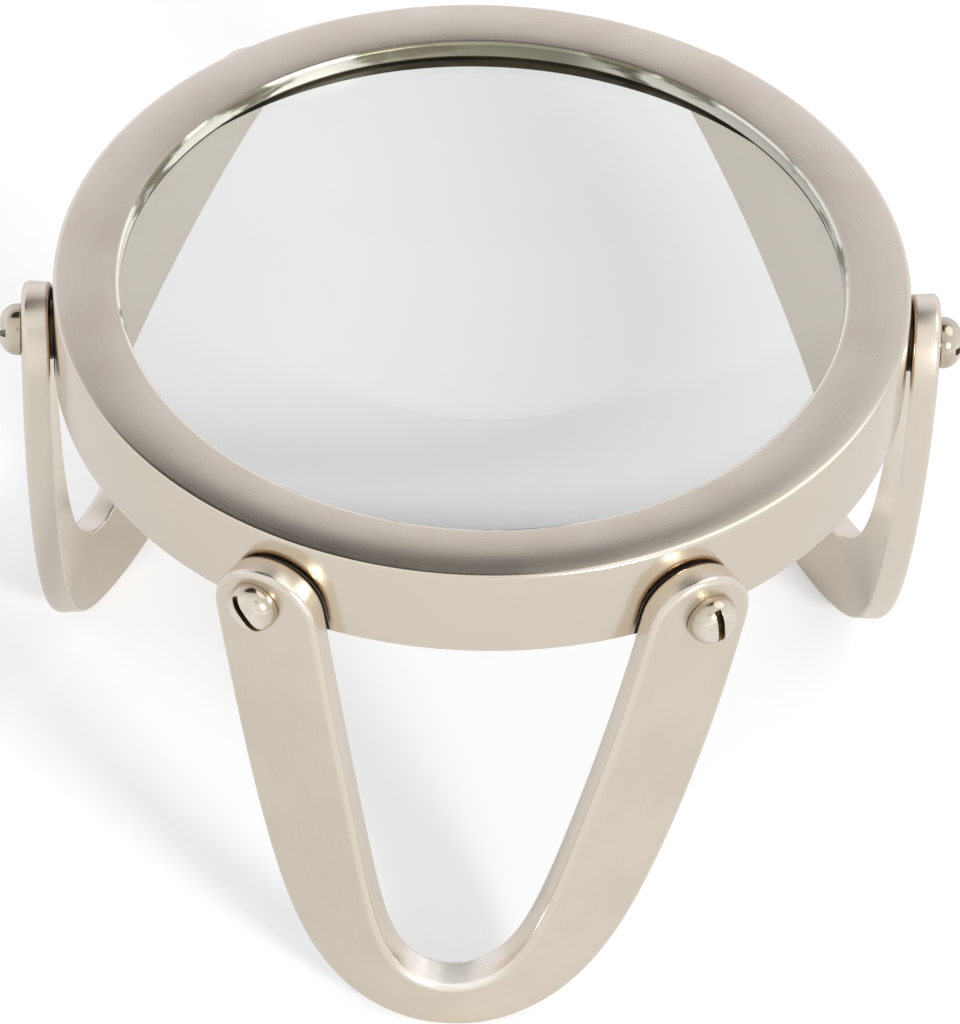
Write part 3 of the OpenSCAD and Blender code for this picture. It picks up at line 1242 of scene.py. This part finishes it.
        girth = np.linalg.norm(np.diff(limb, axis=0, append=limb[:1]), axis=-1)
        around = np.concatenate([[0], np.cumsum(girth)])
        marks = {"edge": wear_and_painted_light[None, :], "flank": flank[None, :]}
        return Surface(points, **marks, along=lengths, around=around, folded=self.face_steps)

    def build(self, finish: bpy.types.Material) -> bpy.types.Object:
        """Makes the leg.

        Args:
            finish: the material that all three legs share.

        Returns:
            The leg's object.
        """
        name = self.name + "_bar"
        mesh = self.surface().mesh(name)
        mesh.set_sharp_from_angle(angle=math.radians(self.sharp))
        return seat(mesh, name, "leg_nickel", self.name, finish)


@dataclass
class SlottedScrew:
    """A slotted screw with a domed head, whose slot stopped at its own angle."""

    name: str
    leg: BentLeg
    side: int
    slot_turn: float
    low: float = 0.0
    lead: float = 1.0
    drop: float = 10.3 * MM
    thread_d: float = 4 * MM
    head_d: float = 7.9 * MM
    head_h: float = 3.4 * MM
    head_edge: float = 2.9 * MM
    slot_w: float = 1.1 * MM
    slot_h: float = 1.1 * MM
    slot_break: float = 0.1 * MM
    slot_overrun: float = 1.2
    tap_depth: float = 4 * MM
    tip_clear: float = 0.3 * MM
    tip_break: float = 0.3 * MM
    tip_shares: Pair = (0.3, 0.85)
    neck: float = 0.3 * MM
    head_break: float = 0.12 * MM
    dome_share: float = 3
    dome_pole: float = 0.04 * MM
    rim_shade: float = 0.9
    edge_steps: int = 18
    dome_steps: int = 13
    segments: int = 96
    sharp: float = 45
    break_from: float = 40

    def profile(self) -> tuple[Array, Array]:
        """Draws the screw from its tip to the top of its head, with z = 0 under the head.

        The head's edge is a quarter of an ellipse, and the dome over it is an arc of
        dome_share head radii.

        Returns:
            Rows of radius and height, and how strongly each carries the painted shade at the head's
            rim.
        """
        r, shank = self.head_d / 2, self.thread_d / 2
        tip = self.leg.ring.ring_r - self.tap_depth + self.tip_clear - self.leg.outer_r
        big = self.dome_share * r
        q = np.linspace(0, np.pi / 2, self.edge_steps)
        flat = r - self.head_edge
        drop = big - math.sqrt(big * big - flat * flat)
        edge_r = flat + self.head_edge * np.cos(q)
        edge_z = self.head_h - self.head_edge + (self.head_edge - drop) * np.sin(q)
        dome_r = np.linspace(flat, self.dome_pole, self.dome_steps + 1)[1:]
        dome_z = self.head_h - big + np.sqrt(big * big - dome_r**2)
        hub, shoulder = self.tip_shares
        shaft = np.array([[hub, tip], [shoulder, tip], [1.0, tip + self.tip_break], [1.0, 0.0]])
        shaft[:, 0] *= shank
        low = self.head_break
        under = np.array([[shank + self.neck, 0.0], [r - low, 0.0], [r, low]])
        rows = [shaft, under, np.stack([edge_r, edge_z], -1), np.stack([dome_r, dome_z], -1)]
        # The rim's painted shade is full below the head's edge and fades over it by cos ** 4.
        below, over = np.full(len(under), self.rim_shade), self.rim_shade * np.cos(q) ** 4
        rim = [np.zeros(len(shaft)), below, over, np.zeros(len(dome_r))]
        return np.concatenate(rows), np.concatenate(rim)

    def cut(self, head: bpy.types.Mesh, finish: bpy.types.Material) -> bpy.types.Mesh:
        """Cuts the slot into the head and breaks the slot's edges.

        Args:
            head: the turned screw, which is used up.
            finish: the material of the slot's walls.

        Returns:
            The cut mesh.
        """
        wide, deep = self.head_d, self.slot_h
        x = np.array([-wide, wide, wide, -wide]) / 2 * self.slot_overrun
        y = np.array([-1, -1, 1, 1]) * self.slot_w / 2
        z = np.array([self.head_h - deep, self.head_h + deep])
        box = np.stack([x + 0 * z[:, None], y + 0 * z[:, None], z[:, None] + 0 * x], -1)
        cutter_mesh = Surface(box).mesh(self.name + "_cutter")
        cutter_mesh.materials.append(finish)
        cutter = bpy.data.objects.new(cutter_mesh.name, cutter_mesh)
        blank = bpy.data.objects.new(head.name, head)
        for item in (cutter, blank):
            bpy.context.scene.collection.objects.link(item)
        slot = blank.modifiers.new("slot", "BOOLEAN")
        slot.operation, slot.object, slot.solver = "DIFFERENCE", cutter, "EXACT"
        slot.material_mode = "TRANSFER"
        broken = blank.modifiers.new("broken_edges", "BEVEL")
        broken.width, broken.segments, broken.limit_method = self.slot_break, 2, "ANGLE"
        broken.angle_limit = math.radians(self.break_from)
        state = bpy.context.evaluated_depsgraph_get()
        mesh = bpy.data.meshes.new_from_object(blank.evaluated_get(state))
        for item in (cutter, blank):
            bpy.data.objects.remove(item)
        return mesh

    def build(self, finish: bpy.types.Material, slot_finish: bpy.types.Material) -> bpy.types.Object:
        """Turns the screw, cuts its slot and puts it through the leg into the ring.

        Args:
            finish: the head's material.
            slot_finish: the material of the slot's walls.

        Returns:
            The screw's object.
        """
        profile, rim = self.profile()
        points = turned(profile, self.segments, 0.0)
        blank = Surface(points, edge=rim[:, None]).mesh(self.name + "_blank")
        blank.materials.append(finish)
        mesh = self.cut(blank, slot_finish)
        mesh.name = self.name + "_turned"
        height = self.leg.ring.total_h - self.leg.drop - self.drop - self.low
        bearing = math.radians(270 + self.leg.turn + self.side * (self.leg.pad_angle + self.lead))
        place = (
            Matrix.Translation((0, ring_axis_y(), height))
            @ Matrix.Rotation(bearing, 4, "Z")
            @ Matrix.Rotation(math.radians(90), 4, "Y")
            @ Matrix.Translation((0, 0, self.leg.outer_r))
            @ Matrix.Rotation(math.radians(self.slot_turn), 4, "Z")
        )
        mesh.transform(place)
        mesh.set_sharp_from_angle(angle=math.radians(self.sharp))
        return seat(mesh, mesh.name, "screw_nickel", self.name)


@dataclass
class SmallSteel:
    """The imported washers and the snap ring, which keep their own solids."""

    def build(self) -> None:
        """Dresses each washer and the snap ring."""
        washer, spring = WASHER_FINISH.material(), SPRING_FINISH.material()
        for name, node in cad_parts.items():
            if "washer" in name:
                finish = washer
            elif name == "lens_snap_ring":
                finish = spring
            else:
                continue
            node.data.materials.clear()
            node.data.materials.append(finish)
            log.info("%s: %s", name, finish.name)


@dataclass
class Studio:
    """A pale floor that runs on as far as the eye sees, a soft lamp and a patterned sky.

    A direction's three numbers go to the right, to the back and up. The ring's sloping
    front face mirrors the sky's dark band, and the pads and screw heads its window.
    """

    floor_tone: Colour = (0.68, 0.68, 0.68)
    glow: float = 0.36
    gloss_glow: float = 0.13
    through_glow: float = 0.37
    floor_r: float = 6.0
    hub_r: float = 0.02
    floor_t: float = 0.02
    floor_drop: float = 0.02 * MM
    floor_segments: int = 128
    lamp_place: Triple = (1.45, -2.25, 1.24)
    lamp_aim: Triple = (0, 0, 0.04)
    lamp_size: Pair = (0.5, 0.5)
    lamp_watts: float = 52.0
    front: Colour = (0.95, 0.95, 0.95)
    front_range: Pair = (-0.35, 0.35)
    rear_low: Colour = (0.97, 0.965, 1.04)
    rear_high: Colour = (0.74, 0.725, 0.75)
    rear_climb: Pair = (0.30, 0.74)
    spot: Colour = (0.30, 0.28, 0.26)
    spot_share: float = 0.4
    spot_way: Triple = (0, -0.73, 0.69)
    spot_range: Pair = (0.982, 0.996)
    band: Colour = (0.05, 0.043, 0.036)
    band_way: Triple = (0, 0.350, 0.937)
    band_upward: Triple = (0, -0.937, 0.350)
    band_wide: float = 0.60
    band_high: float = 0.29
    band_range: Pair = (1.25, 0.8)
    ahead_range: Pair = (0.0, 0.2)
    window: Colour = (1.6, 1.6, 1.6)
    window_way: Triple = (0.50, 0.20, 0.843)
    window_range: Pair = (0.90, 0.96)

    def floor(self) -> bpy.types.Object:
        """Lays the floor, a wide disc just under the feet.

        Returns:
            The floor's object.
        """
        hub, wide, low = self.hub_r, self.floor_r, -self.floor_t
        profile = np.array([[hub, 0.0], [wide, 0.0], [wide, low], [hub, low]])
        profile[:, 1] -= self.floor_drop
        mesh = Surface(turned(profile, self.floor_segments, 0.0)).mesh("floor")
        mesh.materials.append(self.floor_material())
        floor = bpy.data.objects.new("floor", mesh)
        bpy.context.scene.collection.objects.link(floor)
        return floor

    def floor_material(self) -> bpy.types.Material:
        """Makes the floor's material, which keeps shadows and shows white to the eye.

        Returns:
            A matt tone plus a glow, whose strength is one of three for rays from the eye,
            from gloss and through the lens.
        """
        material, graph = new_material("pale_floor")
        rays = graph.add("LightPath").outputs
        kinds = ("Camera", "Glossy", "Transmission")
        eye, gloss, through = (Value(graph, rays[f"Is {kind} Ray"]) for kind in kinds)
        shown = graph.larger(gloss * self.gloss_glow, through * self.through_glow)
        shown = graph.larger(eye * self.glow, shown)
        matt = graph.add("BsdfDiffuse", None, {"Color": rgba(self.floor_tone)})
        light = graph.add("Emission", None, {"Color": rgba((1, 1, 1)), "Strength": shown})
        both = graph.add("AddShader", None, {0: matt.outputs[0], 1: light.outputs[0]})
        graph.finish(both.outputs[0])
        return material

    def sky(self) -> None:
        """Makes the sky: white to the eye, and greys with a dark band and a window for light.

        The band is an ellipse: where its two offsets, each over its half size, have squares
        that add up to less than about 1.
        """
        world = bpy.data.worlds.new("studio_sky")
        bpy.context.scene.world = world
        world.use_nodes = True
        graph = Graph(world.node_tree)
        way = graph.parts(graph.add("TexCoord").outputs["Generated"])
        side, back, up = way
        rear = graph.blend(up.rise(*self.rear_climb), self.rear_low, self.rear_high)
        sky = graph.blend(back.rise(*self.front_range), self.front, rear)
        spot = toward(way, self.spot_way).rise(*self.spot_range)
        sky = graph.blend(spot * self.spot_share, sky, self.spot)
        high, wide = toward(way, self.band_upward) / self.band_high, side / self.band_wide
        ahead = toward(way, self.band_way).rise(*self.ahead_range)
        band = (high * high + wide * wide).rise(*self.band_range) * ahead
        sky = graph.blend(band, sky, self.band)
        window = toward(way, self.window_way).rise(*self.window_range)
        sky = graph.blend(window, sky, self.window)
        path = graph.add("LightPath")
        shown = graph.blend(Value(graph, path.outputs["Is Camera Ray"]), sky, (1.0, 1.0, 1.0))
        light = graph.add("Background", None, {"Color": shown, "Strength": 1.0})
        graph.finish(light.outputs[0], "OutputWorld")

    def lamp(self) -> None:
        """Hangs the soft rectangular lamp and turns it towards its aim."""
        data = bpy.data.lights.new("key", "AREA")
        data.shape, data.energy = "RECTANGLE", self.lamp_watts
        data.size, data.size_y = self.lamp_size
        lamp = bpy.data.objects.new("key", data)
        bpy.context.scene.collection.objects.link(lamp)
        facing = Vector(self.lamp_aim) - Vector(self.lamp_place)
        turn = facing.to_track_quat("-Z", "Y").to_matrix().to_4x4()
        lamp.matrix_world = Matrix.Translation(self.lamp_place) @ turn
        log.info("lamp key: %.1f W", self.lamp_watts)

    def build(self) -> None:
        """Lays the floor, makes the sky and hangs the lamp."""
        self.floor()
        self.sky()
        self.lamp()


@dataclass
class PhotoCamera:
    """The photograph's camera, found from the ring's two ellipses and the screw heads."""

    focal_px: float = 9000.0
    image_h: float = 1024.0
    sensor: float = 36.0
    elevation: float = 43.3228
    roll: float = 1.84096
    yaw: float = 1.51611
    offset: tuple[float, float, float] = (0.3932 * MM, 35.5345 * MM, 1362.397 * MM)
    ring_top: float = 93 * MM
    clip: Pair = (0.05, 50)

    def build(self) -> bpy.types.Object:
        """Adds the camera.

        Returns:
            The camera's object.
        """
        e, roll = math.radians(self.elevation), math.radians(self.roll)
        right, back = Vector((1, 0, 0)), Vector((0, -math.cos(e), math.sin(e)))
        up = back.cross(right)
        side = math.cos(roll) * right + math.sin(roll) * up
        top = math.cos(roll) * up - math.sin(roll) * right
        dx, dy, dz = self.offset
        eye = back * dz - side * dx - top * dy
        axes = Matrix((side, top, back)).transposed().to_4x4()
        data = bpy.data.cameras.new("photo_camera")
        data.sensor_width = self.sensor
        data.lens = self.focal_px * self.sensor / self.image_h
        data.clip_start, data.clip_end = self.clip
        camera = bpy.data.objects.new("photo_camera", data)
        bpy.context.scene.collection.objects.link(camera)
        about = Matrix.Translation((0, ring_axis_y(), self.ring_top))
        swing = Matrix.Rotation(-math.radians(self.yaw), 4, "Z")
        camera.matrix_world = about @ swing @ Matrix.Translation(eye) @ axes
        bpy.context.scene.camera = camera
        place = tuple(round(v, 3) for v in camera.matrix_world.translation)
        log.info("camera: %.1f mm lens at %s", data.lens, place)
        return camera


@dataclass
class Magnifier:
    """The whole magnifier: ring, lens, snap ring, three legs, six screws and six washers."""

    rear_turn: float = 118.7

    def legs(self) -> list[BentLeg]:
        """Gives the three legs, each with its own turn round the ring."""
        return [
            BentLeg("front_leg", 0, foot_set=-3.7 * MM, pad_angle=27.7, drop=0.0),
            BentLeg("right_leg", self.rear_turn),
            BentLeg("left_leg", -self.rear_turn, foot_set=1.2 * MM),
        ]

    def screws(self) -> list[SlottedScrew]:
        """Gives the six screws, each with the angle that its slot stopped at."""
        front, right, left = self.legs()
        return [
            SlottedScrew("front_leg_screw_left", front, -1, slot_turn=40),
            SlottedScrew("front_leg_screw_right", front, 1, slot_turn=5, low=1.2 * MM),
            SlottedScrew("right_leg_screw_front", right, -1, slot_turn=75),
            SlottedScrew("right_leg_screw_back", right, 1, slot_turn=20),
            SlottedScrew("left_leg_screw_front", left, 1, slot_turn=-60),
            SlottedScrew("left_leg_screw_back", left, -1, slot_turn=110),
        ]

    def build(self) -> None:
        """Builds and dresses every piece."""
        legs = self.legs()
        pads = tuple(pad for leg in legs for pad in leg.pads())
        TurnedRing().build(RingNickel("ring_nickel", Brush.AROUND, pads=pads))
        DoubleConvexLens().build()
        bar = replace(LEG_FINISH, pads=pads).material()
        for leg in legs:
            leg.build(bar)
        head, slot = HEAD_FINISH.material(), SLOT_FINISH.material()
        for screw in self.screws():
            screw.build(head, slot)
        SmallSteel().build()


def main() -> None:
    """Sets the camera and the studio, and builds the magnifier."""
    logging.basicConfig(level=logging.INFO, format="%(name)s: %(message)s")
    bpy.context.scene.view_settings.view_transform = "Standard"
    PhotoCamera().build()
    Studio().build()
    Magnifier().build()


if __name__ == "__main__":
    main()
